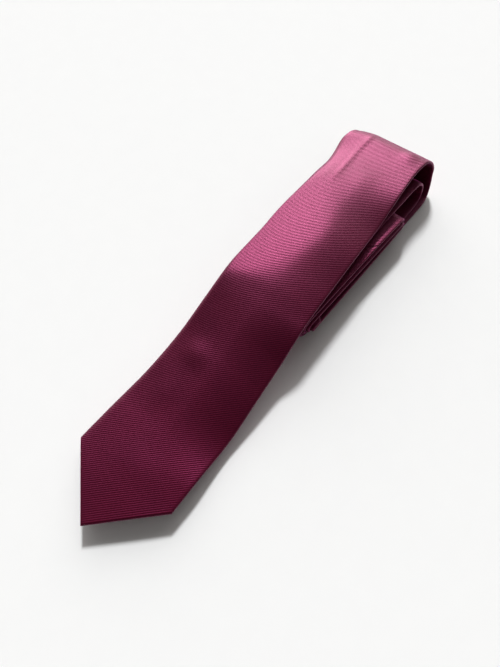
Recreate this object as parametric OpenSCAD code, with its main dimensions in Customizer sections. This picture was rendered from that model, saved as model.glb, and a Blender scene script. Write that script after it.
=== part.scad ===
// A necktie, rolled up flat from its tail, with the wide blade folded over the roll.
// The tie is one long flattened tube. Every piece is placed by P(u, t, n): u runs along the
// middle of the tube from the blade's point, t runs across it, and n is the height above its
// middle surface, positive on the face side.

/* [Widths] */
// Width across the two corners of the wide end
blade_w = 80; // [74:1:84]
// Width of the narrow middle of the tie
neck_w = 36; // [34:1:40]
// Width across the two corners of the tail
tail_w = 45; // [40:1:50]

/* [Lengths] */
// Length of the whole tie from point to point
tie_length = 1475; // [1474:1:1500]
// Distance from the blade's point to the first 45 degree seam
seam_1 = 690; // [680:5:700]
// Distance from the blade's point to the second 45 degree seam
seam_2 = 1010; // [1000:5:1020]
// Distance from the blade's point to the front bar tack
front_tack = 104; // [95:1:120]
// Distance from the tail's point to the tail bar tack
tail_tack = 52; // [45:1:60]

/* [Cloth] */
// Thickness of the flattened tube, with its interlining
tie_t = 2.4; // [2.2:0.1:2.6]
// Thickness of the face cloth
cloth_t = 0.4; // [0.3:0.05:0.5]
// Free space between two layers of the roll
layer_gap = 0.3; // [0.25:0.05:0.35]

/* [Folding] */
// Distance from the blade's point to where the main fold starts
fold_x = 358; // [354:1:362]
// Height of the tube's middle where the main fold starts
fold_z = 32; // [31:0.5:34]
// Distance from the blade's point to the centre of the roll's near turns
roll_x = 200; // [196:1:204]
// Distance from the blade's point to the centre of the second fold
inner_fold_x = 349; // [346:1:350]
// Distance from the blade's point to the centre of the roll's far turns
core_x = 313; // [311:1:316]
// Height of the blade's point above what the tie lies on
tip_z = 9; // [8:0.5:10]

/* [Keeper loop] */
// Distance from the blade's point to the middle of the keeper loop
keeper_u = 222; // [215:1:235]
// Width of the keeper strap along the tie
keeper_w = 14; // [10:1:18]
// Length of the keeper strap across the tie
keeper_l = 52; // [46:1:54]

/* [Hidden] */

face_colour = [0.45, 0.10, 0.22];
lining_colour = [0.36, 0.07, 0.16];
canvas_colour = [0.86, 0.83, 0.76];
thread_colour = [0.55, 0.16, 0.28];

half_t = tie_t / 2;
pitch = tie_t + layer_gap;
corner_u = blade_w / 2;          // the wide point is 90 degrees
tail_corner = tail_w / 2;        // so is the narrow one
taper_end = 672;                 // where the blade has narrowed to the neck's width
inner_turn_r = 1.9;              // radius of the tightest turn in the middle of the roll
level_u = 175;                   // the blade's own hinge line
split_gap = 2.6;                 // space left in the cloth at each hinge line
seam_fade = 42;                  // a 45 degree end dies out over this length
point_fade = 1.2;                // and a point over this many times its own depth
seam_gap = 0.6;                  // the seam's own stitches fill this space

// Shape of the tie along its length ------------------------------------------------------

function clamp01(x) = max(0, min(1, x));
function smooth(x) = let (c = clamp01(x)) c * c * (3 - 2 * c);

// Width of the flattened tube
function width(u) =
    u < taper_end
    ? blade_w - (blade_w - neck_w) * pow(max(0, u - corner_u) / (taper_end - corner_u), 2)
    : neck_w + (tail_w - neck_w) * clamp01((u - seam_2) / (tie_length - tail_corner - seam_2));

// Height of the blade above the ground, as it climbs onto the roll
blade_rise = [75, 140, 16.5];    // start, length and height of the climb
function blade_z(x) =
    tip_z + blade_rise[2] * smooth((x - blade_rise[0]) / blade_rise[1])
    + (fold_z - tip_z - blade_rise[2]) * max(0, (x - 190) / (fold_x - 190));

// How far the middle of the blade lies to the side, since the folds are a little askew
blade_side = [[0, 0], [100, 0], [150, -3], [200, -5.5], [290, -6.5], [345, -8], [358, -7.5]];

function bottom_z(k) = half_t + k * pitch;
function top_z(k) = bottom_z(3) + 2 * inner_turn_r + (4 - k) * pitch;

// A half turn from height za to height zb, bulging to one side, as [x, z, side] points
function turn(x, za, zb, side_a, side_b, bulge, steps) =
    [for (i = [0:steps])
        let (a = 180 * i / steps)
        [x + bulge * abs(za - zb) / 2 * sin(a), (za + zb) / 2 + (za - zb) / 2 * cos(a),
         side_a + (side_b - side_a) * i / steps]];

// The whole path of the tube's middle: the blade, then the roll from outside to inside
path = concat(
    [for (x = [0:12:fold_x - 10]) [x, blade_z(x), lookup(x, blade_side)]],
    turn(fold_x, fold_z, bottom_z(0), -7.5, 8, 1, 14),
    turn(roll_x, bottom_z(0), top_z(1), 8, 8, -1, 10),
    turn(inner_fold_x, top_z(1), bottom_z(1), 14, 19, 1, 10),
    turn(roll_x, bottom_z(1), top_z(2), 15, 15, -1, 8),
    turn(core_x, top_z(2), bottom_z(2), 21, 21, 1, 8),
    turn(roll_x, bottom_z(2), top_z(3), 15, 15, -1, 8),
    turn(core_x, top_z(3), bottom_z(3), 20, 20, 1, 8),
    turn(roll_x, bottom_z(3), top_z(4), 15, 15, -1, 8),
    [[core_x, top_z(4), 19]]);

function step_length(i) = norm([path[i + 1][0] - path[i][0], path[i + 1][1] - path[i][1]]);
stations = [for (i = 0, u = 0; i < len(path);
    u = u + (i + 1 < len(path) ? step_length(i) : 0), i = i + 1) u];
x_table = [for (i = [0:len(path) - 1]) [stations[i], path[i][0]]];
z_table = [for (i = [0:len(path) - 1]) [stations[i], path[i][1]]];
side_table = [for (i = [0:len(path) - 1]) [stations[i], path[i][2]]];

function path_x(u) = lookup(u, x_table);
function path_z(u) = lookup(u, z_table);
function path_side(u) = lookup(u, side_table);

// The part's origin is under the middle of its box
edge_low = min([for (u = stations) path_side(u) - width(u) / 2]);
edge_high = max([for (u = stations) path_side(u) + width(u) / 2]);
mid_side = (edge_low + edge_high) / 2;
fold_r = (fold_z - bottom_z(0)) / 2;
mid_x = (fold_x + fold_r + half_t) / 2;

// The main fold bends at two hinge lines, a quarter and three quarters of the way round it
fold_start = lookup(fold_x - 1, [for (i = [0:40]) [path[i][0], stations[i]]]) + 1;
upper_hinge_u = fold_start + fold_r * PI / 4;
lower_hinge_u = fold_start + fold_r * PI * 3 / 4;

// The blade's margins hang a little where nothing is under them
left_droop = 7;
right_droop = 1.5;
function droop(u, t) =
    let (along = smooth((u - 120) / 80) * (1 - smooth((u - 345) / 30)),
         half_w = width(u) / 2,
         left = clamp01((-t - 6) / (half_w - 6)),
         right = clamp01((t - 8) / (half_w - 8)))
    along * (left_droop * left * left + right_droop * right * right);

function slope(u) =
    let (d = [path_x(u + 1) - path_x(u - 1), path_z(u + 1) - path_z(u - 1)]) d / norm(d);

function P(u, t, n) =
    let (d = slope(u))
    [path_x(u) - d[1] * n - mid_x, mid_side - path_side(u) - t, path_z(u) + d[0] * n - droop(u, t)];

// Building blocks --------------------------------------------------------------------------

// Cross-section of a flat strip with rounded edges, as [t, n] points that start at the left
// edge and run over the face; `across` adds points where the strip is to bend sideways
function section(w, h, lift = 0, across = [0]) =
    let (edge = [[w / 2 - 0.3 * h, 0.7 * h], [w / 2 - h, h]],
         face = concat([for (e = edge) [-e[0], e[1]]], [for (a = across) [a * w, h]],
                       [edge[1], edge[0]]))
    concat([[-w / 2, lift]], [for (p = face) [p[0], p[1] + lift]], [[w / 2, lift]],
           [for (i = [len(face) - 1:-1:0]) [face[i][0], lift - face[i][1]]]);

// How far a cross-section's point moves along the tie to make a pointed or a 45 degree end
function end_shift(u, t, from, to, start, finish) =
    (start == "point" ? abs(t) * clamp01(1 - (u - from) / (point_fade * corner_u)) : 0)
    + (start == "seam" ? t * clamp01(1 - (u - from) / seam_fade) : 0)
    + (finish == "seam" ? t * clamp01(1 - (to - u) / seam_fade) : 0)
    - (finish == "point" ? abs(t) * clamp01(1 - (to - u) / (point_fade * tail_corner)) : 0);

// The places along the tie where cross-sections stand; a pointed end has a rounded edge
function cuts(from, to, start, finish) =
    concat(start == "point" ? [from, from + 0.8, from + 3] : [from],
           [for (u = stations) if (u > from + 5 && u < to - 5) u],
           finish == "point" ? [to - 3, to - 0.8, to] : [to]);
function edge_round(u, from, to, start, finish) =
    let (a = start == "point" ? u - from : 9, b = finish == "point" ? to - u : 9, m = min(a, b))
    m < 0.5 ? 0.4 : m < 1.5 ? 0.8 : 1;

function strip_points(us, from, to, start, finish, w_less, h, lift, across) =
    [for (u = us)
        let (k = edge_round(u, from, to, start, finish))
        for (p = section(width(u) - w_less, h * k, lift, across))
            P(u + end_shift(u, p[0], from, to, start, finish), p[0], p[1])];

// Triangles between rings of count points; ring numbers run from first to last
function walls(first, last, count, inward) =
    [for (r = [first:last - 1], j = [0:count - 1])
        let (k = (j + 1) % count, a = r * count, b = a + count)
        each inward ? [[a + j, b + j, b + k], [a + j, b + k, a + k]]
                    : [[a + j, b + k, b + j], [a + j, a + k, b + k]]];
function rim(ring_a, ring_b, count, flip) =
    [for (j = [0:count - 1])
        let (k = (j + 1) % count, a = ring_a * count, b = ring_b * count)
        each flip ? [[a + j, b + k, b + j], [a + j, a + k, b + k]]
                  : [[a + j, b + j, b + k], [a + j, b + k, a + k]]];
function lid(ring, count, at_start) =
    [for (i = [0:count / 2 - 1])
        let (o = ring * count,
             quad = [o + i, o + i + 1, o + count - i - 1, o + (count - i) % count],
             tris = i == 0 ? [[quad[0], quad[1], quad[2]]]
                  : i == count / 2 - 1 ? [[quad[0], quad[1], quad[3]]]
                  : [[quad[0], quad[1], quad[2]], [quad[0], quad[2], quad[3]]])
        for (f = tris) at_start ? [f[0], f[2], f[1]] : f];

// A solid strip inside the tube, such as the interlining
module strip(from, to, w_less, h, lift = 0, start = "square", finish = "square", across = [0]) {
    us = cuts(from, to, start, finish);
    count = len(section(10, 1, 0, across));
    last = len(us) - 1;
    polyhedron(strip_points(us, from, to, start, finish, w_less, h, lift, across),
        concat(walls(0, last, count, false), lid(0, count, true), lid(last, count, false)));
}

// A length of the cloth tube: closed at a point, open at a square or a 45 degree end
module tube(from, to, start = "square", finish = "square", across = [0]) {
    us = cuts(from, to, start, finish);
    from_in = start == "point" ? from + 1.2 : from;
    to_in = finish == "point" ? to - 1.2 : to;
    us_in = cuts(from_in, to_in, start, finish);
    count = len(section(10, 1, 0, across));
    last = len(us) - 1;
    first_in = last + 1;
    last_in = last + len(us_in);
    polyhedron(
        concat(strip_points(us, from, to, start, finish, 0, half_t, 0, across),
               strip_points(us_in, from_in, to_in, start, finish, 2 * cloth_t,
                            half_t - cloth_t, 0, across)),
        concat(walls(0, last, count, false), walls(first_in, last_in, count, true),
               start == "point"
                   ? concat(lid(0, count, true), lid(first_in, count, false))
                   : rim(0, first_in, count, false),
               finish == "point"
                   ? concat(lid(last, count, false), lid(last_in, count, true))
                   : rim(last, last_in, count, true)));
}

// Puts its children at a place on the tube, with +X along it, +Y to the left, +Z out of the face
module at(u, t, n) {
    d = slope(u);
    translate(P(u, t, n)) rotate([0, -atan2(d[1], d[0]), 0]) children();
}

// A thread bar on the back of the tube, through the cloth of the back
thread_t = 0.5;
module back_bar(u, t, length, angle) {
    at(u, t, -half_t) rotate([0, 0, angle])
        translate([-length / 2, -thread_t / 2, -thread_t / 3])
            cube([length, thread_t, thread_t]);
}

// The slip stitch: one slanting bar for each stitch along the middle of the back, except at
// the neck seams and in the roll's tightest turns, where a straight bar would cut the tube
stitch_step = 14;
function turning(u) = norm(slope(u + 3) - slope(u - 3));
function at_seam(u) = min(abs(u - seam_1), abs(u - seam_2)) < 4;
module slip_stitch(from, to) {
    for (u = [from:stitch_step:to]) if (turning(u) < 1 && !at_seam(u)) back_bar(u, 0, 4, 25);
}

// Points across the blade where its margins start to hang
bend = [-0.38, -0.24, -0.1, 0, 0.14, 0.26, 0.38];

// The wide end, from its point to the blade's own hinge line --------------------------------

canvas_h = 0.4;
canvas_lift = 0.18;
lining_h = 0.11;
lining_lift = -0.5;
tip_end = level_u - split_gap / 2;
blade_start = level_u + split_gap / 2;
blade_root = upper_hinge_u - split_gap / 2;

module blade_tip_shell() {
    color(face_colour) tube(0, tip_end, start = "point", across = bend);
}

module front_tipping() {
    color(lining_colour)
        strip(2.4, front_tack + 14, 3, lining_h, lining_lift, start = "point", across = bend);
}

module blade_tip_interlining() {
    color(canvas_colour)
        strip(3.2, tip_end, 4, canvas_h, canvas_lift, start = "point", across = bend);
}

module front_bar_tack() {
    color(thread_colour) for (i = [-1:1]) back_bar(front_tack + i * 0.7, 0, 9, 90);
}

module blade_tip_slip_stitch() {
    color(thread_colour) slip_stitch(front_tack + 10, tip_end - 5);
}

// The rest of the blade that lifts off the roll ---------------------------------------------

module blade_shell() {
    color(face_colour) tube(blade_start, blade_root, across = bend);
}

module blade_interlining() {
    color(canvas_colour) strip(blade_start, blade_root, 4, canvas_h, canvas_lift, across = bend);
}

module blade_slip_stitch() {
    color(thread_colour) slip_stitch(blade_start + 6, keeper_u - keeper_w);
    color(thread_colour) slip_stitch(keeper_u + keeper_w, blade_root - 5);
}

// The keeper loop: a strap across the back, sewn down at its ends and free between them
strap_t = 0.6;
strap_gap = 0.3;
strap_rise = 0.8;
sewn_l = 5;
function strap_off(t) = strap_gap + strap_rise * clamp01((keeper_l / 2 - sewn_l - abs(t)) / 2);
function strap_edge(depth) =
    [for (t = [-keeper_l / 2:2:keeper_l / 2])
        [-t, -strap_off(t) - depth - droop(keeper_u, t)]];

module keeper_loop() {
    far_side = strap_edge(strap_t);
    color(face_colour) at(keeper_u, 0, -half_t) rotate([90, 0, 90])
        linear_extrude(keeper_w, center = true)
            polygon(concat(strap_edge(0), [for (i = [len(far_side) - 1:-1:0]) far_side[i]]));
}

module keeper_stitches() {
    stitch_t = keeper_l / 2 - sewn_l / 2;
    color(thread_colour)
        for (side = [-1, 1], i = [-1.5:1:1.5])
            at(keeper_u + i * keeper_w / 5, side * stitch_t, -half_t)
                translate([-1, -thread_t / 2, -strap_gap - strap_t - 0.15])
                    cube([2, thread_t, strap_gap + strap_t + 0.35]);
}

// The main fold ------------------------------------------------------------------------------

fold_from = upper_hinge_u + split_gap / 2;
fold_to = lower_hinge_u - split_gap / 2;

module main_fold_shell() {
    color(face_colour) tube(fold_from, fold_to, across = bend);
}

module main_fold_interlining() {
    color(canvas_colour) strip(fold_from, fold_to, 4, canvas_h, canvas_lift, across = bend);
}

module main_fold_slip_stitch() {
    color(thread_colour) slip_stitch((fold_from + fold_to) / 2, fold_to);
}

// The roll -----------------------------------------------------------------------------------

rolled_u = lower_hinge_u + split_gap / 2;

module rolled_blade_shell() {
    color(face_colour) tube(rolled_u, seam_1 - seam_gap / 2, finish = "seam");
}

// A 45 degree row of stitches across the tube, on its face and back
module neck_seam(u) {
    reach = width(u) / 2 - 2;
    for (t = [-reach:reach / 6:reach], face = [-1, 1])
        at(u + t, t, face * (half_t - 0.1)) rotate([0, 0, 45])
            cube([1, thread_t, 0.3], center = true);
}

module front_neck_seam() {
    color(thread_colour) neck_seam(seam_1);
}

module neck_shell() {
    color(face_colour)
        tube(seam_1 + seam_gap / 2, seam_2 - seam_gap / 2, start = "seam", finish = "seam");
}

module tail_neck_seam() {
    color(thread_colour) neck_seam(seam_2);
}

module tail_shell() {
    color(face_colour)
        tube(seam_2 + seam_gap / 2, tie_length, start = "seam", finish = "point");
}

module rolled_interlining() {
    color(canvas_colour)
        strip(rolled_u, tie_length - 3.2, 4, canvas_h, canvas_lift, finish = "point");
}

module rolled_slip_stitch() {
    color(thread_colour) slip_stitch(rolled_u + 6, tie_length - tail_tack - 8);
}

module tail_tipping() {
    color(lining_colour)
        strip(tie_length - tail_tack - 10, tie_length - 2.4, 3, lining_h, lining_lift,
              finish = "point");
}

module tail_bar_tack() {
    color(thread_colour)
        for (i = [-1:1]) back_bar(tie_length - tail_tack + i * 0.7, 0, 7, 90);
}

blade_tip_shell();
front_tipping();
blade_tip_interlining();
front_bar_tack();
blade_tip_slip_stitch();
blade_shell();
blade_interlining();
blade_slip_stitch();
keeper_loop();
keeper_stitches();
main_fold_shell();
main_fold_interlining();
main_fold_slip_stitch();
rolled_blade_shell();
front_neck_seam();
neck_shell();
tail_neck_seam();
tail_shell();
rolled_interlining();
rolled_slip_stitch();
tail_tipping();
tail_bar_tack();
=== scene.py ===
"""A necktie rolled up flat from its tail, with its wide blade folded over the roll.

The tie is one long flattened tube of cloth. Every piece is placed by place(u, t, n): u runs
along the middle of the tube from the blade's point, t across it, and n is the height above its
middle surface, positive on the face side. The path is the one that the CAD model follows, with
the main fold a little squarer. It is in millimetres, and the pieces are made in metres.
"""

import math

import bpy
import numpy as np
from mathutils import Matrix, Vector


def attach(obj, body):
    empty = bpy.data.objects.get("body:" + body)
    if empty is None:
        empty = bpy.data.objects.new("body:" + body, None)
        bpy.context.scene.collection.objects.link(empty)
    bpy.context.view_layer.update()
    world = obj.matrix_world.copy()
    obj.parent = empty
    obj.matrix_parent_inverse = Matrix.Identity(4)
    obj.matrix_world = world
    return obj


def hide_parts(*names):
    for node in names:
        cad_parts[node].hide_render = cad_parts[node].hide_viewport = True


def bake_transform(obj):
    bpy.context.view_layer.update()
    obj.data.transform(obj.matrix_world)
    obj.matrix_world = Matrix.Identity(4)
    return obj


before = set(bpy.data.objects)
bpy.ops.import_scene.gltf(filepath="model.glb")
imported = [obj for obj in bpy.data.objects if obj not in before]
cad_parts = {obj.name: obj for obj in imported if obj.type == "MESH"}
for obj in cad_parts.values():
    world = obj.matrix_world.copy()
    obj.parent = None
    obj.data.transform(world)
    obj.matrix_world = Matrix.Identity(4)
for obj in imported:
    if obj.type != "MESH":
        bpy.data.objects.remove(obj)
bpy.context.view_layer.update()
MM = 0.001

# ---- Driving sizes, as in the CAD model (millimetres) -------------------------------------------

BLADE_W, NECK_W, TAIL_W = 80.0, 36.0, 45.0
TIE_LENGTH, TAPER_END = 1475.0, 672.0
SEAM_1, SEAM_2 = 690.0, 1010.0
FRONT_TACK, TAIL_TACK = 104.0, 52.0
TIE_T, LAYER_GAP, INNER_TURN_R = 2.4, 0.3, 1.9
FOLD_X, FOLD_Z, ROLL_X, INNER_FOLD_X, CORE_X, TIP_Z = 358.0, 32.0, 200.0, 349.0, 313.0, 9.0
KEEPER_U, KEEPER_W, KEEPER_L = 222.0, 14.0, 52.0
MID_SIDE = -1.2706         # the middle of the folded tie, across

# ---- Sizes of the cloth as it is sewn -----------------------------------------------------------

HALF_T = 1.08          # half the thickness of the tube, a little under the CAD model's
CLOTH_T = 0.35         # thickness of the face cloth
CORNER_U = BLADE_W / 2  # the blade's point is 90 degrees
TAIL_CORNER = TAIL_W / 2
POINT_FADE = 1.2       # a point's slant dies out over this many times its own depth
HEM_W = 5.0            # the turned hem along the point's edges
SEAM_LIFT = 0.42       # how far the upper back panel lies over the lower one
SPLIT_U = 270.0        # where the cloth of the blade's tip meets the next piece
ROLL_U = 470.0         # from here on the cloth moves with the roll alone
CRISP = math.radians(60)  # an edge that bends more than this stays sharp


def smooth(x):
    c = np.clip(x, 0.0, 1.0)
    return c * c * (3 - 2 * c)


# ---- The path of the tube -----------------------------------------------------------------------

PITCH = TIE_T + LAYER_GAP
HALF_TURN_STEPS = 40
BLADE_X = np.arange(0, FOLD_X, 3.0)
# How far the blade lies to one side, at places along it
BLADE_SIDE = np.array([(0, 0), (100, 0), (150, -3), (200, -5.5), (290, -6.5), (345, -8),
                       (358, -7.5)])
# The blade climbs over the roll's near end in a soft step, then rises evenly to the fold
STEP_X, STEP_LENGTH, STEP_H, SLOPE_X = 75, 140, 16.5, 190
# Each fold at the far end, from the outside in: where it turns, and its side shift before and
# after. Then the side shift of each fold at the roll's near end, and of the tail's end.
FAR_FOLDS = ((FOLD_X, -7.5, 8), (INNER_FOLD_X, 14, 19), (CORE_X, 21, 21), (CORE_X, 20, 20))
NEAR_SIDES = (8, 15, 15, 15)
TAIL_SIDE = 19


def blade_z(x):
    step = STEP_H * smooth((x - STEP_X) / STEP_LENGTH)
    slope = np.maximum(0, (x - SLOPE_X) / (FOLD_X - SLOPE_X))
    return TIP_Z + step + (FOLD_Z - TIP_Z - STEP_H) * slope


def bottom_z(k):
    """The height of the k-th turn of the roll where it runs below the core."""
    return TIE_T / 2 + k * PITCH


def top_z(k):
    """The height of the k-th turn of the roll where it runs above the core."""
    return bottom_z(3) + 2 * INNER_TURN_R + (4 - k) * PITCH


def half_turn(x, za, zb, side_a, side_b, bulge):
    """A half turn from height za to zb, as rows of x, z and side."""
    a = np.linspace(0, math.pi, HALF_TURN_STEPS + 1)
    r = abs(za - zb) / 2
    return np.stack([x + bulge * r * np.sin(a), (za + zb) / 2 + (za - zb) / 2 * np.cos(a),
                     side_a + (side_b - side_a) * a / math.pi], axis=1)


def build_path():
    parts = [np.stack([BLADE_X, blade_z(BLADE_X), np.interp(BLADE_X, *BLADE_SIDE.T)], axis=1)]
    for k, ((far_x, before, after), near) in enumerate(zip(FAR_FOLDS, NEAR_SIDES)):
        high = top_z(k) if k else FOLD_Z
        parts += [half_turn(far_x, high, bottom_z(k), before, after, 1),
                  half_turn(ROLL_X, bottom_z(k), top_z(k + 1), near, near, -1)]
    return np.concatenate([*parts, [[CORE_X, top_z(4), TAIL_SIDE]]])


FOLD_R = (FOLD_Z - bottom_z(0)) / 2
FOLD_FULLNESS, FOLD_SHOULDER = 0.26, 0.8  # powers that square the fold outwards and upwards
FOLD_DRAW = 2.2                           # how far it is drawn in below


def squared_fold(path):
    """The main fold isn't quite round: flat on top, with a tight corner, and drawn in below."""
    shaped = path.copy()
    turn = slice(len(BLADE_X), len(BLADE_X) + HALF_TURN_STEPS + 1)
    out = (path[turn, 0] - FOLD_X) / FOLD_R
    high = (path[turn, 1] - bottom_z(0)) / FOLD_R - 1
    upper = smooth(high / 0.5 + 0.5)
    fuller = np.clip(out, 0, 1) ** (1 - FOLD_FULLNESS * upper)
    shaped[turn, 0] += FOLD_R * (fuller - out) - FOLD_DRAW * (1 - upper) * out
    shoulder = np.clip(high, 0, 1) ** FOLD_SHOULDER
    shaped[turn, 1] += FOLD_R * np.where(high > 0, shoulder - high, 0)
    return shaped


PATH = build_path()
STATIONS = np.concatenate([[0], np.cumsum(np.hypot(*np.diff(PATH[:, :2], axis=0).T))])
PATH = squared_fold(PATH)
PATH_ANGLE = np.unwrap(np.arctan2(np.diff(PATH[:, 1]), np.diff(PATH[:, 0])))
MID_X = (FOLD_X + FOLD_R + TIE_T / 2) / 2
ON_BLADE = slice(0, len(BLADE_X) + 1)
FOLD_START = float(np.interp(FOLD_X - 0.01, PATH[ON_BLADE, 0], STATIONS[ON_BLADE]))
CREST_U = FOLD_START + FOLD_R * math.pi / 2

# The side shift is given at a few places, so it is smoothed along the tie, over this many of
# the places that are 1 mm apart
SMOOTHED = 31
FINE_U = np.arange(-20.0, TIE_LENGTH + 20.0, 1.0)
KERNEL = np.hanning(SMOOTHED) / np.hanning(SMOOTHED).sum()
FINE_SIDE = np.interp(FINE_U, STATIONS, PATH[:, 2])
FINE_SIDE = np.convolve(np.pad(FINE_SIDE, SMOOTHED // 2, mode="edge"), KERNEL, mode="valid")


def path_x(u):
    return np.where(u < 0, u, np.interp(u, STATIONS, PATH[:, 0]))


def path_z(u):
    return np.interp(u, STATIONS, PATH[:, 1])


def path_side(u):
    return np.interp(u, FINE_U, FINE_SIDE)


def turned(u):
    """The angle that the path has turned through by u, in radians."""
    return np.interp(u, (STATIONS[1:] + STATIONS[:-1]) / 2, PATH_ANGLE)


def width(u):
    taper = np.maximum(0, u - CORNER_U) / (TAPER_END - CORNER_U)
    flare = np.clip((u - SEAM_2) / (TIE_LENGTH - TAIL_CORNER - SEAM_2), 0, 1)
    return np.where(u < TAPER_END, BLADE_W - (BLADE_W - NECK_W) * taper ** 2,
                    NECK_W + (TAIL_W - NECK_W) * flare)


def bell(u, rise_from, rise_to, fall_from, fall_to):
    """1 between rise_to and fall_from, and 0 outside the other two."""
    return smooth((u - rise_from) / (rise_to - rise_from)) * (
        1 - smooth((u - fall_from) / (fall_to - fall_from)))


def bells(u, rows):
    """The sum of several bells, each given as its height and its four places."""
    return sum(height * bell(u, *places) for height, *places in rows)


# How the soft cloth lies off the path: rows of a height and the places of its bell along the
# tie. A height is in millimetres, or in the two tilts a slope across the tie.
ARCHES = ((4.3, 136, 206, 245, 322), (2.6, 35, 115, 120, 215))
LEFT_DROOP = ((2.6, 205, 290, 330, 372),)
RIGHT_DROOP = ((6.0, 56, 104, 158, 192), (2.2, 165, 215, 225, 265), (2.4, 215, 265, 290, 335))
FOLD_TILT = ((0.055, 305, 350, 372, 396),)
BLADE_TILT = ((0.06, 120, 180, 285, 330), (0.045, 165, 200, 280, 325))
CROWN = ((0.9, 0, 45, 300, 350),)
EDGE_DROP = ((1.8, 30, 60, 315, 355),)
CREASE = ((0.5, 295, 325, 355, 375),)
AT_FOLD = ((1, 335, 368, 388, 410),)
LEFT_INSET = ((6.5, 45, 150, 230, 310), (4.6, 245, 300, 322, 360))

# Soft swells of the face: where they lie along and across, how long and broad, and how high
SWELLS = ((50, 8, 11, 20, 0.35), (131, -13, 9, 10, 0.7), (98, -16, 12, 8, 0.3),
          (262, -6, 7, 17, 0.4), (318, 4, 14, 10, 0.5), (362, 21, 6, 6, 1.0))

LEFT_FROM, RIGHT_FROM = 4, 2          # a margin begins this far from the middle
FOLD_TILT_T = 36                      # the fold's tilt turns about this line
EDGE_FROM = 0.86                      # the left edge drops from this far into its margin
CREASE_T, CREASE_W = -16.0, 2.3       # the crease's place across, and its breadth
FOLD_OUT = 0.45                       # the fold stands out by this much
FOLD_IN, FOLD_IN_T, FOLD_IN_W = 4.2, 14, 18  # and is drawn in towards its left end
LID_SOFT = 0.5                        # how softly the cloth stops at the path's highest point


def margins(u, t):
    """How far towards its two folded edges a point is, from 0 near the middle to 1."""
    half_w = width(u) / 2
    return (np.clip((-t - LEFT_FROM) / (half_w - LEFT_FROM), 0, 1),
            np.clip((t - RIGHT_FROM) / (half_w - RIGHT_FROM), 0, 1))


def lie(u, t, n):
    """How the soft cloth lies off the plain path: its moves along x, across and up."""
    left, right = margins(u, t)
    face = smooth((n + HALF_T) / (2 * HALF_T))
    inner = np.clip(1 - (t / (width(u) / 2)) ** 2, 0, 1)
    edge = np.clip((left - EDGE_FROM) / (1 - EDGE_FROM), 0, 1)
    left_end = np.clip((-t - FOLD_IN_T) / FOLD_IN_W, 0, 1)
    up = bells(u, ARCHES)
    up -= left ** 3 * bells(u, LEFT_DROOP)
    up -= right ** 1.5 * bells(u, RIGHT_DROOP)
    up += (t - FOLD_TILT_T) * bells(u, FOLD_TILT)
    up -= t * bells(u, BLADE_TILT)
    up += face * inner * bells(u, CROWN)
    up -= edge ** 2 * bells(u, EDGE_DROP)
    for along_at, across_at, length, breadth, height in SWELLS:
        up += height * face * np.exp(-((u - along_at) / length) ** 2 - (
            (t - across_at) / breadth) ** 2)
    up += face * np.exp(-((t - CREASE_T) / CREASE_W) ** 2) * bells(u, CREASE)
    up -= LID_SOFT * np.logaddexp(0, (up - PATH[:, 1].max() + path_z(u)) / LID_SOFT)
    along = bells(u, AT_FOLD) * (FOLD_OUT - FOLD_IN * left_end ** 2)
    inward = left ** 2 * bells(u, LEFT_INSET)
    return along, inward, up


def place(u, t, n):
    """Points of the tube in the row frame, in metres."""
    u, t, n = np.broadcast_arrays(*(np.asarray(v, float) for v in (u, t, n)))
    dx, dz = path_x(u + 0.5) - path_x(u - 0.5), path_z(u + 0.5) - path_z(u - 0.5)
    size = np.hypot(dx, dz)
    dx, dz = dx / size, dz / size
    along, inward, up = lie(u, t, n)
    x = path_x(u) - dz * n - MID_X + along
    y = MID_SIDE - path_side(u) - t - inward
    z = path_z(u) + dx * n + up
    return np.stack([x, y, z], axis=-1) * MM


# ---- Mesh helpers -------------------------------------------------------------------------------


def new_mesh(name, points, faces, uv):
    """A smooth mesh with its cloth coordinates, in metres along and across the cloth."""
    mesh = bpy.data.meshes.new(name)
    mesh.from_pydata(points.tolist(), [], faces)
    layer = mesh.uv_layers.new(name="cloth")
    corners = np.empty(len(mesh.loops), np.int32)
    mesh.loops.foreach_get("vertex_index", corners)
    layer.data.foreach_set("uv", (uv[corners] * MM).astype(np.float32).ravel())
    mesh.polygons.foreach_set("use_smooth", np.ones(len(mesh.polygons), bool))
    mesh.update()
    piece = bpy.data.objects.new(name, mesh)
    bpy.context.scene.collection.objects.link(piece)
    return piece


def grid_faces(rows, columns, first=0):
    r, c = np.meshgrid(np.arange(rows - 1), np.arange(columns - 1), indexing="ij")
    a = first + (r * columns + c).ravel()
    return np.stack([a, a + 1, a + columns + 1, a + columns], axis=1).tolist()


def joined_grids(name, grids, weld=0.02):
    """One mesh of several grids of points, joined where they meet."""
    faces, first = [], 0
    for points, _ in grids:
        faces += grid_faces(points.shape[0], points.shape[1], first)
        first += points.shape[0] * points.shape[1]
    points = np.concatenate([p.reshape(-1, 3) for p, _ in grids])
    uv = np.concatenate([v.reshape(-1, 2) for _, v in grids])
    piece = new_mesh(name, points, faces, uv)
    piece.modifiers.new("weld", "WELD").merge_threshold = weld * MM
    return apply_modifiers(piece)


def thicken(piece, thickness):
    """Gives a sheet its thickness on its inner side, and keeps its cut edges crisp."""
    solid = piece.modifiers.new("thickness", "SOLIDIFY")
    solid.thickness = thickness * MM
    solid.offset = -1.0
    solid.use_rim = True
    solid.use_even_offset = True
    solid.thickness_clamp = 2.0
    apply_modifiers(piece)
    piece.data.set_sharp_from_angle(angle=CRISP)
    return piece


def apply_modifiers(piece):
    shown = piece.evaluated_get(bpy.context.evaluated_depsgraph_get())
    mesh = bpy.data.meshes.new_from_object(shown)
    piece.modifiers.clear()
    old, piece.data = piece.data, mesh
    bpy.data.meshes.remove(old)
    mesh.name = piece.name
    return piece


# ---- The shape of the cloth ---------------------------------------------------------------------

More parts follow.
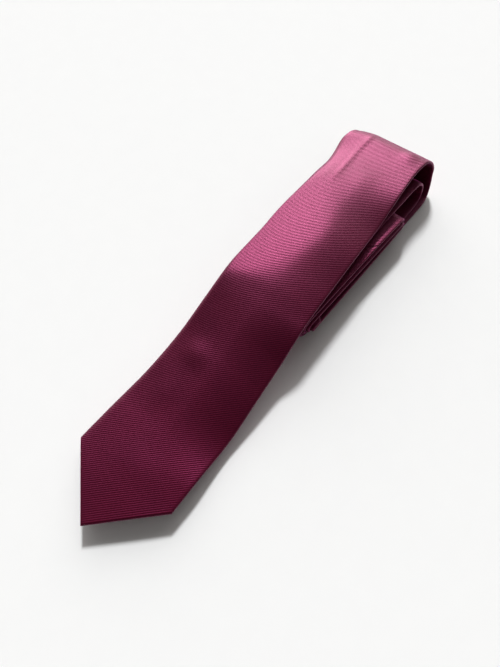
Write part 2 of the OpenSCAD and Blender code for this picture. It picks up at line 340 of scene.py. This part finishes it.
WIDE_COLUMNS, NARROW_COLUMNS, PANEL_COLUMNS, TURN_COLUMNS = 47, 25, 16, 9
UNDER_EDGE, OVER_EDGE = 4.0, -2.0   # where the two back panels' inner edges lie, across the tie
SEAM_FADE = 60.0                    # a 45 degree end dies out over this length
SEAM_DIP, SEAM_DIP_L = 0.32, 1.3    # a neck seam's groove: its depth, and half its length
CLOSED = -9.0                       # the opening's half width where the panels overlap fully
SLIT_HALF, SLIT_FROM = 3.2, 1.8     # the slit's half width, and its start in point depths
TACK_PULL, TACK_FADE = 6, 14        # how far the tack closes the slit, and over what length
DIAMOND_END, SLIT_SOFT = 8, 2.0     # where the diamond turns into the slit, and how softly
LONG_STEP, SHORT_STEP = 1.8, 0.3    # the longest and shortest usual steps along the tie
STEP_TURN, TURN_REACH = 0.075, 2.5  # the path turns this much in a step, measured this far off
ARC = math.pi * HALF_T
EDGE = math.sqrt(2) * HALF_T        # the rounded edge of a point takes this off its length
POINTS = {"blade_point": (EDGE, 1, CORNER_U, FRONT_TACK),
          "tail_point": (TIE_LENGTH - EDGE, -1, TAIL_CORNER, TAIL_TACK)}
SEAMS = {"front_seam": SEAM_1, "tail_seam": SEAM_2}


def end_shift(u, q, t, ends):
    """How far a point moves along the tie, so that an end comes out pointed or at 45 degrees."""
    shift = np.zeros(np.broadcast(u, q).shape)
    for end in ends:
        if end in POINTS:
            at, sign, depth, _ = POINTS[end]
            shift += sign * np.abs(t) * np.clip(1 - (u - at) * sign / (POINT_FADE * depth), 0, 1)
        elif end in SEAMS:
            shift += q * np.clip(1 - np.abs(u - SEAMS[end]) / SEAM_FADE, 0, 1)
    return shift


def opening(u, ends):
    """Half the width left open between the back panels: a diamond behind each point, then a
    slit that closes at the bar tack."""
    half = np.full(np.shape(u), CLOSED)
    for end in ends:
        if end in POINTS:
            at, sign, depth, tack = POINTS[end]
            gone = (u - at) * sign
            fade = np.clip(1 - gone / (POINT_FADE * depth), 0, 1)
            diamond = (2 * depth - gone) / (1 + fade)
            slit = SLIT_HALF * smooth((tack - gone) / (tack - SLIT_FROM * depth))
            slit = slit - TACK_PULL * smooth((gone - tack) / TACK_FADE)
            soft = SLIT_SOFT * np.logaddexp(diamond / SLIT_SOFT, slit / SLIT_SOFT)
            half = np.maximum(half, np.where(diamond > DIAMOND_END, diamond, soft))
    return half


def around(q, half_w, h):
    """The place across the tube, and the height, of a point at q on the unfolded cloth."""
    side, gone = np.sign(q), np.abs(q) - half_w
    turn = np.clip(gone / HALF_T, 0, math.pi)
    t = side * (half_w + np.minimum(gone, 0) + HALF_T * np.sin(turn) - np.maximum(gone - ARC, 0))
    return t, h * np.cos(turn)


def overlap_lift(q, half_w, t):
    """How far the upper back panel stands off, because it lies over the lower one."""
    return np.where(q > half_w + ARC / 2, SEAM_LIFT * smooth((9 - t) / 8), 0)


def spaced_rows(u0, u1, ends):
    """Places along the tie, closer together in the folds and at the ends."""
    rows = [u0]
    while rows[-1] < u1:
        u = rows[-1]
        turn = abs(float(turned(u + TURN_REACH) - turned(u - TURN_REACH))) / (2 * TURN_REACH)
        step = min(LONG_STEP, max(SHORT_STEP, STEP_TURN / max(turn, 0.001)))
        if any(end in SEAMS and abs(u - SEAMS[end]) < 2 for end in ends):
            step = SHORT_STEP
        from_split = min(abs(u - split) for split in (SPLIT_U, CREST_U, ROLL_U))
        rows.append(u + min(step, 0.15 + 0.4 * from_split))
    rows[-1] = u1
    if rows[-1] - rows[-2] < 0.1:
        rows.pop(-2)
    return np.array(rows)


def cloth_points(u, ends, face_columns):
    """The cloth's points for each place along the tie, as arrays of u, t, n and q. Each row goes
    from the under panel's edge, round the left fold, over the face, round the right fold, to the
    upper panel's edge."""
    half_w = width(u)[:, None] / 2 - HALF_T
    gap = opening(u, ends)[:, None]
    under = np.clip(-gap, -half_w, UNDER_EDGE)
    over = np.clip(gap, OVER_EDGE, half_w)
    face, panel = np.linspace(-1, 1, face_columns)[None], np.linspace(0, 1, PANEL_COLUMNS)[None]
    turn = np.linspace(0, 1, TURN_COLUMNS)[None, 1:-1]
    q = np.concatenate([
        -half_w - ARC - (half_w + under) * panel[:, ::-1], -half_w - ARC * turn[:, ::-1],
        half_w * face,
        half_w + ARC * turn, half_w + ARC + (half_w - over) * panel], axis=1)
    dip = np.zeros(u.shape)
    for end in ends:
        if end in SEAMS:
            dip += SEAM_DIP * (1 - smooth(np.abs(u - SEAMS[end]) / SEAM_DIP_L))
    t, n = around(q, half_w, HALF_T - dip[:, None])
    n = n - overlap_lift(q, half_w, t) * smooth((4 - gap) / 4)
    return u[:, None] + end_shift(u[:, None], q, t, ends), t, n, q


def turned_hem(end, t, n, q):
    """The cloth that goes round a point's slanting edge and back inside, from the face's edge."""
    at, sign, _, _ = POINTS[end]
    angle = np.linspace(0, math.pi, 9)[:, None]
    flat = np.linspace(0.5, HEM_W - HALF_T, 5)[:, None]
    inset = np.concatenate([HALF_T * (1 - np.sin(angle)), HALF_T + flat])
    level = np.concatenate([np.cos(angle), -np.ones(flat.shape)])
    hem = np.concatenate([HALF_T * angle, ARC + flat])
    u = at + sign * (np.abs(t) + math.sqrt(2) * (inset - HALF_T))
    uv = np.stack([at + sign * (np.abs(t) - math.sqrt(2) * hem), q + 0 * hem], axis=-1)
    points = place(u, t, n * level)
    return (points[::-1], uv[::-1]) if sign > 0 else (points, uv)


def face_cloth(name, u0, u1, ends=(), face_columns=WIDE_COLUMNS):
    """A length of the tube of face cloth, with its folded edges and its overlap along the back."""
    rows = spaced_rows(u0, u1, ends)
    u, t, n, q = cloth_points(rows, ends, face_columns)
    grids = [(place(u, t, n), np.stack([u, q], axis=-1))]
    first = PANEL_COLUMNS + TURN_COLUMNS // 2 - 1
    middle = slice(first, q.shape[1] - first)
    for end in ends:
        if end in POINTS:
            row = 0 if POINTS[end][1] > 0 else -1
            grids.append(turned_hem(end, *(v[row, middle][None] for v in (t, n, q))))
    piece = thicken(joined_grids(name, grids), CLOTH_T)
    return finished(piece, FACE)


def strip(name, u0, u1, less, n, thickness, look, ends=(), columns=NARROW_COLUMNS):
    """A flat sheet inside the tube, such as the interlining or a tipping."""
    rows = spaced_rows(u0, u1, ends)
    half = (width(rows)[:, None] - less) / 2
    t = half * np.linspace(-1, 1, columns)[None]
    u = rows[:, None] + end_shift(rows[:, None], t, t, ends)
    piece = joined_grids(name, [(place(u, t, n + 0 * t), np.stack([u, t], axis=-1))])
    thicken(piece, thickness)
    return finished(piece, look)


def finished(piece, look):
    """Gives a piece its material."""
    piece.data.materials.append(look)
    return piece


# ---- Threads and the keeper loop ----------------------------------------------------------------

ASIDE = (0.31, 0.17, 0.93)          # a direction that no thread runs in
THREAD_END = 0.35                   # a thread's ends are this much of its radius
STITCH_R, TACK_R, SEAM_R = 0.13, 0.17, 0.12
KEEPER_HALF_T, KEEPER_OFF = 0.4, 0.85  # half its thickness, and its ends' height off the cloth
KEEPER_BOW, KEEPER_BOW_END = 0.8, 0.25  # how far it stands off further, and where that is reached


def threads(name, lines, radius, sides=7):
    """Round threads along lines of points given in metres."""
    points, faces, uv, first = [], [], [], 0
    around_it = np.linspace(0, 2 * math.pi, sides, endpoint=False)
    for line in lines:
        along = np.gradient(line, axis=0)
        side = np.cross(along, ASIDE)
        side /= np.linalg.norm(side, axis=1)[:, None]
        up = np.cross(along, side)
        up /= np.linalg.norm(up, axis=1)[:, None]
        size = np.full(len(line), radius * MM)
        size[[0, -1]] *= THREAD_END
        ring = (np.cos(around_it)[:, None] * side[:, None]
                + np.sin(around_it)[:, None] * up[:, None])
        points.append((line[:, None] + size[:, None, None] * ring).reshape(-1, 3))
        length = np.concatenate([[0], np.cumsum(np.linalg.norm(np.diff(line, axis=0), axis=1))])
        uv += [(far / MM, turn) for far in length for turn in around_it]
        for r in range(len(line) - 1):
            a, b = first + r * sides, first + (r + 1) * sides
            faces += [(a + k, a + (k + 1) % sides, b + (k + 1) % sides, b + k)
                      for k in range(sides)]
        last = first + (len(line) - 1) * sides
        faces += [tuple(range(first, first + sides))[::-1], tuple(range(last, last + sides))]
        first += len(line) * sides
    piece = new_mesh(name, np.concatenate(points), faces, np.array(uv))
    return finished(piece, THREAD)


def slip_stitches(name, u0, u1, step=12.0):
    """One short slanting thread over the upper panel's folded edge for each stitch."""
    k = np.linspace(-1, 1, 7)
    t = OVER_EDGE + 1.5 * k
    n = -HALF_T - SEAM_LIFT * smooth(t - OVER_EDGE + 0.5) - 0.12 * (1 - k ** 2) - 0.02
    clear = [u for u in np.arange(u0, u1, step)
             if min(abs(u - seam) for seam in SEAMS.values()) > 6]
    return threads(name, [place(u + 0.9 * k, t, n) for u in clear], STITCH_R)


def bar_tack(name, u, length, wraps=9, pitch=0.26):
    """A bar of close thread wraps across the slit's end."""
    k = np.linspace(-1, 1, 17)
    n = -HALF_T - SEAM_LIFT - 0.16 - 0.12 * np.cos(k * math.pi / 2)
    n = np.where(np.abs(k) > 0.93, -HALF_T, n)
    wrap = [place(u + (i - (wraps - 1) / 2) * pitch, length / 2 * k, n) for i in range(wraps)]
    return threads(name, wrap, TACK_R)


def seam_stitches(name, seam, stitch=1.7, pitch=2.4):
    """The row of stitches at the bottom of a neck seam's groove, all round the tube."""
    half_w = float(width(np.array(SEAMS[seam]))) / 2 - HALF_T
    k = np.linspace(0, 1, 5)
    lines = []
    reach = 2 * half_w + ARC - 1
    for q0 in np.arange(-reach, reach - stitch, pitch):
        q = q0 + stitch * k
        t, n = around(q, half_w, HALF_T - 0.3)
        n = n * (1 + 0.1 * np.sin(math.pi * k)) - overlap_lift(q, half_w, t)
        lines.append(place(SEAMS[seam] + q, t, n))
    return threads(name, lines, SEAM_R)


def keeper_bow(across):
    """How far the keeper stands off between its sewn ends, which are at -1 and 1 across."""
    return KEEPER_BOW * smooth((1 - np.abs(across)) / KEEPER_BOW_END)


def keeper(name):
    """The strap across the blade's back that the tail goes through."""
    section = np.linspace(0, 2 * math.pi, 28, endpoint=False)
    du = KEEPER_W / 2 * np.sign(np.cos(section)) * np.abs(np.cos(section)) ** 0.3
    dn = KEEPER_HALF_T * np.sign(np.sin(section)) * np.abs(np.sin(section)) ** 0.7
    t = np.linspace(-1, 1, 53)
    n = -HALF_T - KEEPER_OFF - keeper_bow(t)
    t = t[:, None] * KEEPER_L / 2
    points = place(KEEPER_U + du[None], t, n[:, None] - dn[None])
    rows, columns = points.shape[:2]
    faces = [(r * columns + c, r * columns + (c + 1) % columns,
              (r + 1) * columns + (c + 1) % columns, (r + 1) * columns + c)
             for r in range(rows - 1) for c in range(columns)]
    last = (rows - 1) * columns
    faces += [tuple(range(columns))[::-1], tuple(range(last, last + columns))]
    uv = np.stack(np.broadcast_arrays(du[None], t), axis=-1).reshape(-1, 2)
    piece = new_mesh(name, points.reshape(-1, 3), faces, uv)
    piece.data.set_sharp_from_angle(angle=CRISP)
    return finished(piece, FACE)


def keeper_stitches(name):
    """Two bars of thread at each end of the keeper loop."""
    k = np.linspace(-1, 1, 11)
    lines = []
    for end in (-1, 1):
        for row in (0, 1):
            for i in range(9):
                u = KEEPER_U - 5.6 + 1.4 * i + 0.45 * k
                t = end * (KEEPER_L / 2 - 1.4 - 1.3 * row) + 0 * k
                n = -HALF_T - KEEPER_OFF - KEEPER_HALF_T - keeper_bow(t / (KEEPER_L / 2))
                lines.append(place(u, t, n - 0.16 * np.cos(k * math.pi / 2)))
    return threads(name, lines, STITCH_R)


# ---- Materials ----------------------------------------------------------------------------------


class Look:
    """A material of one Principled shader, with the nodes that feed it."""

    def __init__(self, name, **settings):
        self.material = bpy.data.materials.new(name)
        self.material.use_nodes = True
        self.tree = self.material.node_tree
        self.shader = self.tree.nodes["Principled BSDF"]
        for socket, value in settings.items():
            self.shader.inputs[socket.replace("_", " ")].default_value = value

    def node(self, kind, inputs=(), output=0, **attributes):
        """Adds a node, feeds its inputs, and gives back one of its outputs."""
        node = self.tree.nodes.new("ShaderNode" + kind)
        for attribute, value in attributes.items():
            setattr(node, attribute, value)
        for socket, value in dict(inputs).items():
            self.feed(node.inputs[socket], value)
        return node.outputs[output]

    def feed(self, socket, value):
        if isinstance(value, bpy.types.NodeSocket):
            self.tree.links.new(value, socket)
        else:
            socket.default_value = value

    def calc(self, operation, *values):
        return self.node("Math", enumerate(values), operation=operation)

    def ramp(self, value, low, high, to_low=0.0, to_high=1.0):
        return self.node("MapRange", {0: value, 1: low, 2: high, 3: to_low, 4: to_high},
                         interpolation_type="SMOOTHSTEP")

    def mix(self, factor, a, b):
        return self.node("Mix", {0: factor, 6: (*a, 1) if isinstance(a, tuple) else a,
                                 7: (*b, 1) if isinstance(b, tuple) else b},
                         output=2, data_type="RGBA")

    def noise(self, vector, scale, detail=3.0, roughness=0.55):
        return self.node("TexNoise", {"Vector": vector, "Scale": scale, "Detail": detail,
                                      "Roughness": roughness})

    def bump(self, height, distance, strength=1.0):
        bump = self.node("Bump", {"Height": height, "Distance": distance, "Strength": strength})
        self.tree.links.new(bump, self.shader.inputs["Normal"])

    def shade(self, **inputs):
        for socket, value in inputs.items():
            self.feed(self.shader.inputs[socket.replace("_", " ")], value)

    def cloth_axes(self):
        """The cloth coordinates, and their two parts in metres."""
        uv = self.node("UVMap", uv_map="cloth")
        parts = self.node("SeparateXYZ", {0: uv}).node
        return uv, parts.outputs[0], parts.outputs[1]


RIB = 0.00135          # one rib and its groove, across the ribs
YARN = 0.00031         # one yarn across a rib
SATIN_WARP, SATIN_WEFT, CANVAS_YARN = 0.00028, 0.0009, 0.0008
# RIB_CREST is the silk's dye; the rib grooves are that dye darkened as painted shade, and the yarn
# crests are it lightened as a painted highlight, while the dark patches are the dye's own
RIB_GROOVE_SHADE, RIB_CREST = (0.006, 0.0002, 0.0006), (0.050, 0.0012, 0.004)
YARN_CREST_HIGHLIGHT, DYE_PATCH = (0.07, 0.003, 0.008), (0.018, 0.0005, 0.0015)
SATIN_DARK, SATIN_LIGHT = (0.075, 0.007, 0.022), (0.125, 0.014, 0.04)
WOOL_DARK, WOOL_LIGHT = (0.42, 0.36, 0.27), (0.68, 0.62, 0.50)
# the thread's colour between its plies, darkened as painted shade, and on their crests, lightened
# as a painted highlight
PLY_SHADED, PLY_LIT = (0.03, 0.003, 0.009), (0.13, 0.016, 0.04)
CARD_DARK, CARD_LIGHT = (0.880, 0.880, 0.880), (0.900, 0.900, 0.898)


def ribbed_silk():
    look = Look("ribbed_silk", IOR=1.8, Specular_Tint=(1.0, 0.11, 0.40, 1), Sheen_Weight=1.0,
                Sheen_Tint=(1.0, 0.14, 0.55, 1), Sheen_Roughness=0.31)
    uv, along, across = look.cloth_axes()
    down = look.calc("SUBTRACT", along, across)
    up = look.calc("ADD", along, across)
    waver = look.noise(uv, 160.0, 2.0)
    rib_at = look.calc("MULTIPLY_ADD", down, 2 * math.pi / (RIB * math.sqrt(2)),
                       look.calc("MULTIPLY", waver, 1.1))
    yarn_at = look.calc("MULTIPLY_ADD", up, 2 * math.pi / (YARN * math.sqrt(2)), rib_at)
    rib = look.calc("MULTIPLY_ADD", look.calc("SINE", rib_at), 0.5, 0.5)
    rib = look.calc("POWER", rib, 0.7)
    yarn = look.calc("MULTIPLY_ADD", look.calc("SINE", yarn_at), 0.5, 0.5)
    slub = look.noise(uv, 900.0, 3.0)
    patch = look.noise(uv, 28.0, 3.0)
    # The dye is darkened in the rib grooves as painted shade, and lightened on the yarn crests as
    # a painted highlight
    dye_and_shade = look.mix(rib, RIB_GROOVE_SHADE, RIB_CREST)
    dye_and_shade = look.mix(look.calc("MULTIPLY", yarn, 0.22), dye_and_shade, YARN_CREST_HIGHLIGHT)
    dye_and_shade = look.mix(look.ramp(patch, 0.35, 0.7, 0.0, 0.35), dye_and_shade, DYE_PATCH)
    height = look.calc("MULTIPLY_ADD", yarn, 0.12, rib)
    height = look.calc("MULTIPLY_ADD", slub, 0.25, height)
    look.bump(height, 0.00009)
    look.shade(Base_Color=dye_and_shade, Roughness=look.ramp(slub, 0.3, 0.7, 0.37, 0.43))
    return look.material


def satin_lining():
    look = Look("satin_lining", IOR=1.55, Specular_Tint=(1.0, 0.6, 0.7, 1), Sheen_Weight=0.1,
                Sheen_Tint=(1.0, 0.6, 0.7, 1))
    uv, along, across = look.cloth_axes()
    warp = look.calc("SINE", look.calc("MULTIPLY", across, 2 * math.pi / SATIN_WARP))
    weft = look.calc("SINE", look.calc("MULTIPLY", along, 2 * math.pi / SATIN_WEFT))
    slub = look.noise(uv, 700.0, 3.0)
    dye_and_shade = look.mix(look.ramp(slub, 0.3, 0.7), SATIN_DARK, SATIN_LIGHT)
    height = look.calc("MULTIPLY_ADD", weft, 0.4, look.calc("ADD", warp, slub))
    look.bump(height, 0.00002)
    look.shade(Base_Color=dye_and_shade, Roughness=look.ramp(slub, 0.3, 0.7, 0.28, 0.38))
    return look.material


def wool_canvas():
    look = Look("wool_canvas", IOR=1.45, Sheen_Weight=0.3, Sheen_Roughness=0.6)
    uv, along, across = look.cloth_axes()
    warp = look.calc("SINE", look.calc("MULTIPLY", across, 2 * math.pi / CANVAS_YARN))
    weft = look.calc("SINE", look.calc("MULTIPLY", along, 2 * math.pi / CANVAS_YARN))
    nap = look.noise(uv, 1400.0, 5.0, 0.7)
    dye_and_shade = look.mix(look.ramp(nap, 0.25, 0.75), WOOL_DARK, WOOL_LIGHT)
    look.bump(look.calc("ADD", look.calc("MULTIPLY", warp, weft), nap), 0.00008)
    look.shade(Base_Color=dye_and_shade, Roughness=look.ramp(nap, 0.3, 0.7, 0.8, 0.95))
    return look.material


def sewing_thread():
    look = Look("sewing_thread", IOR=1.5, Sheen_Weight=0.3, Sheen_Tint=(1.0, 0.5, 0.65, 1))
    uv, along, angle = look.cloth_axes()
    twist = look.calc("MULTIPLY_ADD", angle, 1 / MM, look.calc("MULTIPLY", along, 9000.0))
    ply = look.calc("MULTIPLY_ADD", look.calc("SINE", look.calc("MULTIPLY", twist, 2.0)), 0.5, 0.5)
    # The thread is darkened between its plies as painted shade, and lightened on their crests as a
    # painted highlight
    dye_and_shade = look.mix(ply, PLY_SHADED, PLY_LIT)
    look.bump(ply, 0.00004)
    look.shade(Base_Color=dye_and_shade, Roughness=look.ramp(look.noise(uv, 3000.0), 0.3, 0.7, 0.45, 0.6))
    return look.material


def pale_card():
    look = Look("pale_card", Roughness=0.9, Specular_IOR_Level=0.1)
    object_place = look.node("TexCoord", output=3)
    grain = look.noise(object_place, 60.0, 4.0)
    look.shade(Base_Color=look.mix(grain, CARD_DARK, CARD_LIGHT))
    return look.material


FACE, LINING, CANVAS, THREAD = ribbed_silk(), satin_lining(), wool_canvas(), sewing_thread()

# ---- Pieces -------------------------------------------------------------------------------------


def on_tip(piece, *nodes):
    """Hides the CAD parts that a piece of the blade's tip stands in for, and bakes the piece's
    placement into its mesh.
    """
    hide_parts(*nodes)
    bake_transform(piece)


def on_blade(piece, *nodes):
    """Hides the CAD parts that a piece of the blade stands in for, and bakes the piece's placement
    into its mesh.
    """
    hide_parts(*nodes)
    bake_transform(piece)


def on_fold(piece, *nodes):
    """Hides the CAD parts that a piece of the main fold's lower half stands in for, and bakes the
    piece's placement into its mesh.
    """
    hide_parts(*nodes)
    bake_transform(piece)


def on(body, piece, *nodes):
    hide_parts(*nodes)
    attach(piece, body)


on_tip(face_cloth("blade_tip_cloth", EDGE, SPLIT_U, ["blade_point"]), "blade_tip_shell")
on_blade(face_cloth("blade_cloth", SPLIT_U, CREST_U), "blade_shell")
on_fold(face_cloth("main_fold_cloth", CREST_U, ROLL_U), "main_fold_shell")
on("roll", face_cloth("rolled_cloth", ROLL_U, SEAM_1, ["front_seam"]), "rolled_blade_shell")
on("roll", face_cloth("neck_cloth", SEAM_1, SEAM_2, ["front_seam", "tail_seam"],
                      NARROW_COLUMNS), "neck_shell")
on("roll", face_cloth("tail_cloth", SEAM_2, TIE_LENGTH - EDGE, ["tail_seam", "tail_point"],
                      NARROW_COLUMNS), "tail_shell")

CANVAS_START, CANVAS_END, TIPPING_INSET = 6.0, TIE_LENGTH - 5, 4.4
FRONT_TIPPING_END, TAIL_TIPPING_START = 128.0, TIE_LENGTH - 66
CORE = dict(less=5.0, n=0.45, thickness=0.8, look=CANVAS)
on_tip(strip("blade_tip_canvas", CANVAS_START, SPLIT_U, ends=["blade_point"], **CORE),
       "blade_tip_interlining")
on_blade(strip("blade_canvas", SPLIT_U, CREST_U, **CORE), "blade_interlining")
on_fold(strip("main_fold_canvas", CREST_U, ROLL_U, **CORE), "main_fold_interlining")
on("roll", strip("rolled_canvas", ROLL_U, CANVAS_END, ends=["tail_point"], **CORE),
   "rolled_interlining")

TIPPING = dict(less=4.6, n=-0.48, thickness=0.14, look=LINING)
on("blade_end", strip("front_tipping_lining", TIPPING_INSET, FRONT_TIPPING_END,
                      ends=["blade_point"], **TIPPING), "front_tipping")
on("roll", strip("tail_tipping_lining", TAIL_TIPPING_START, TIE_LENGTH - TIPPING_INSET,
                 ends=["tail_point"], **TIPPING), "tail_tipping")

on_tip(slip_stitches("blade_tip_slip_stitches", FRONT_TACK + 10, SPLIT_U), "blade_tip_slip_stitch")
on_blade(slip_stitches("blade_slip_stitches", SPLIT_U + 6, CREST_U - 3), "blade_slip_stitch")
on_fold(slip_stitches("main_fold_slip_stitches", CREST_U + 3, ROLL_U), "main_fold_slip_stitch")
on("roll", slip_stitches("rolled_slip_stitches", ROLL_U + 6, TIE_LENGTH - TAIL_TACK - 8),
   "rolled_slip_stitch")
on("blade_end", bar_tack("front_tack", FRONT_TACK, 9.0), "front_bar_tack")
on("roll", bar_tack("tail_tack", TIE_LENGTH - TAIL_TACK, 7.0), "tail_bar_tack")
on("roll", seam_stitches("front_seam_stitches", "front_seam"), "front_neck_seam")
on("roll", seam_stitches("tail_seam_stitches", "tail_seam"), "tail_neck_seam")
on("blade", keeper("keeper_strap"), "keeper_loop")
on("blade", keeper_stitches("keeper_strap_stitches"), "keeper_stitches")

# ---- Floor, light and camera --------------------------------------------------------------------

KEY_FROM, KEY_SPREAD, KEY_STRENGTH = Vector((0.623, 0.482, 0.616)), 8.0, 3.3
KEY_COLOUR, ROOM_COLOUR = (0.975, 0.99, 1.0), (1.0, 0.975, 0.945)
# The room is brightest towards its window wall. The first range is how nearly a direction points
# there, and the second is the brightness, away from the wall and at its middle.
WINDOW_WALL, TOWARDS, BRIGHTNESS = (0.79, 0.61, 0.0), (0.54, 1.0), (0.15, 4.4)
EYE, GAZE, LENS = Vector((-0.1567, -0.1103, 0.372)), Vector((0.3431, 0.2655, -0.9010)), 30.16

bpy.ops.mesh.primitive_plane_add(size=6.0)
floor = bpy.context.object
floor.name = "floor"
floor.data.materials.append(pale_card())

key = bpy.data.objects.new("key", bpy.data.lights.new("key", "SUN"))
key.data.angle = math.radians(KEY_SPREAD)
key.data.energy = KEY_STRENGTH
key.data.color = KEY_COLOUR
key.location = KEY_FROM
key.rotation_euler = KEY_FROM.to_track_quat("Z", "Y").to_euler()
bpy.context.scene.collection.objects.link(key)

world = bpy.data.worlds.new("soft_room")
world.use_nodes = True
sky = world.node_tree
toward = sky.nodes.new("ShaderNodeVectorMath")
toward.operation = "DOT_PRODUCT"
toward.inputs[1].default_value = WINDOW_WALL
sky.links.new(sky.nodes.new("ShaderNodeTexCoord").outputs["Generated"], toward.inputs[0])
glow = sky.nodes.new("ShaderNodeMapRange")
glow.interpolation_type = "SMOOTHSTEP"
for socket, value in zip(("From Min", "From Max", "To Min", "To Max"), TOWARDS + BRIGHTNESS):
    glow.inputs[socket].default_value = value
sky.links.new(toward.outputs["Value"], glow.inputs["Value"])
sky.links.new(glow.outputs["Result"], sky.nodes["Background"].inputs["Strength"])
sky.nodes["Background"].inputs["Color"].default_value = (*ROOM_COLOUR, 1)
bpy.context.scene.world = world

camera = bpy.data.objects.new("camera", bpy.data.cameras.new("camera"))
camera.data.lens = LENS
camera.data.clip_start = 0.01
camera.location = EYE
camera.rotation_euler = GAZE.to_track_quat("-Z", "Y").to_euler()
bpy.context.scene.collection.objects.link(camera)
bpy.context.scene.camera = camera
bpy.context.scene.view_settings.view_transform = "Standard"
